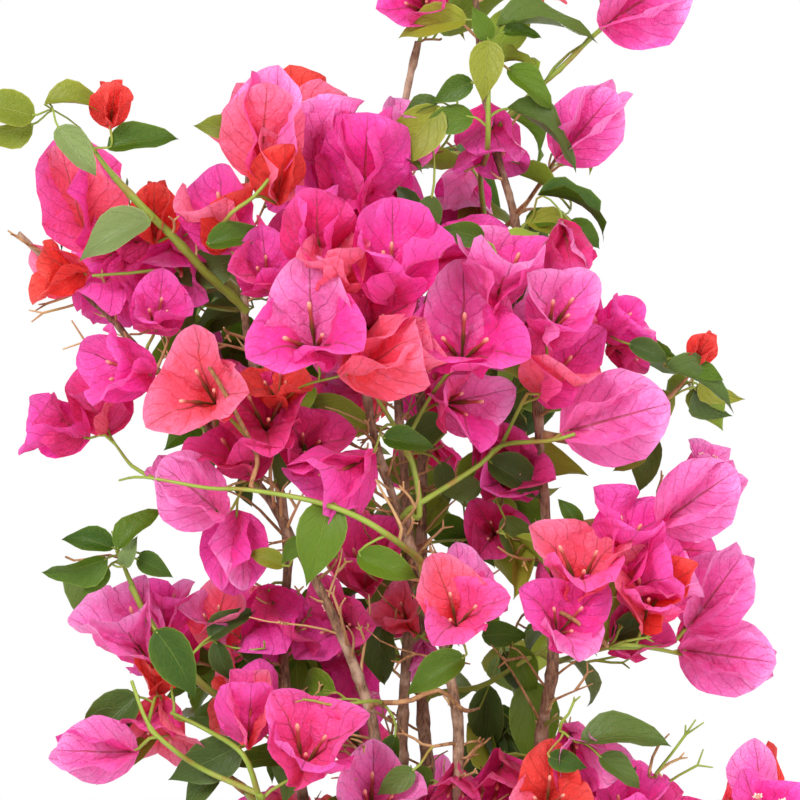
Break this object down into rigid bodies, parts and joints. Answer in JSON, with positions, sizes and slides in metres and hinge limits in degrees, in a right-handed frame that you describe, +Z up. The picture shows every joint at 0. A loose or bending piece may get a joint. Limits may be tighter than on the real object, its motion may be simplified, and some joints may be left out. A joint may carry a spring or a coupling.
{
  "type": "potted bougainvillea bush",
  "caption": "Flowering bougainvillea bush with papery pink and coral bracts, heart-shaped leaves and thin woody stems, standing in a plain round pot.",
  "frame": {"origin": "centre of the pot's flat underside", "axes": "+Z up, the crown's broad and open face towards -Y, +X to the right seen from the front"},
  "size_m": [0.3415, 0.2138, 0.7331],
  "materials": {
    "pot": "matt terracotta-brown moulded plastic",
    "potting_mix": "dark crumbly peat and bark",
    "bark": "grey-brown, finely furrowed",
    "green_shoot": "smooth young green bark",
    "bract": "papery, finely veined, pink to coral",
    "leaf": "soft satin leaf, pale veins"
  },
  "bodies": {
    "root": {"pot": "pot", "potting_mix": "potting_mix", "foot": "bark", "stem_left": "bark", "stem_centre": "bark", "stem_middle": "bark", "stem_front": "bark", "stem_right": "bark", "stem_back": "bark", "bough_low_left": "bark", "bough_low_right": "bark", "bough_mid_right": "bark", "bough_shoulder": "bark", "bough_outer_right": "bark", "bough_upper_left": "green_shoot", "bough_left": "green_shoot", "bough_top_right": "green_shoot", "crown_tip": "leaf", "top_right_bloom": "bract", "top_leaves": "leaf", "upper_right_bloom": "bract", "upper_right_leaves": "leaf", "upper_left_tip": "leaf", "upper_left_blooms": "bract", "upper_inner_left_blooms": "bract", "front_centre_blooms": "bract", "upper_centre_blooms": "bract", "front_left_blooms": "bract", "front_right_blooms": "bract", "right_shoulder_blooms": "bract", "right_leaf_spray": "leaf", "left_blooms": "bract", "centre_blooms": "bract", "core_right": "leaf", "right_outer_upper_bloom": "bract", "right_mid_blooms": "bract", "right_outer_blooms": "bract", "left_leaf_spray": "leaf", "left_lower_blooms": "bract", "inner_left_blooms": "bract", "centre_low_bloom": "bract", "core_left": "leaf", "lower_left_blooms": "bract", "lower_centre_left_blooms": "bract", "lower_right_blooms": "bract", "lower_centre_blooms": "bract", "lower_right_outer_bloom": "bract", "back_high_1": "leaf", "back_high_2": "bract", "back_middle_1": "leaf", "back_middle_2": "bract", "back_middle_3": "leaf", "back_low_1": "leaf", "back_low_2": "bract", "back_low_3": "leaf", "back_core": "leaf", "skirt_1": "leaf", "skirt_2": "bract", "skirt_3": "leaf", "skirt_4": "bract"}
  },
  "joints": []
}
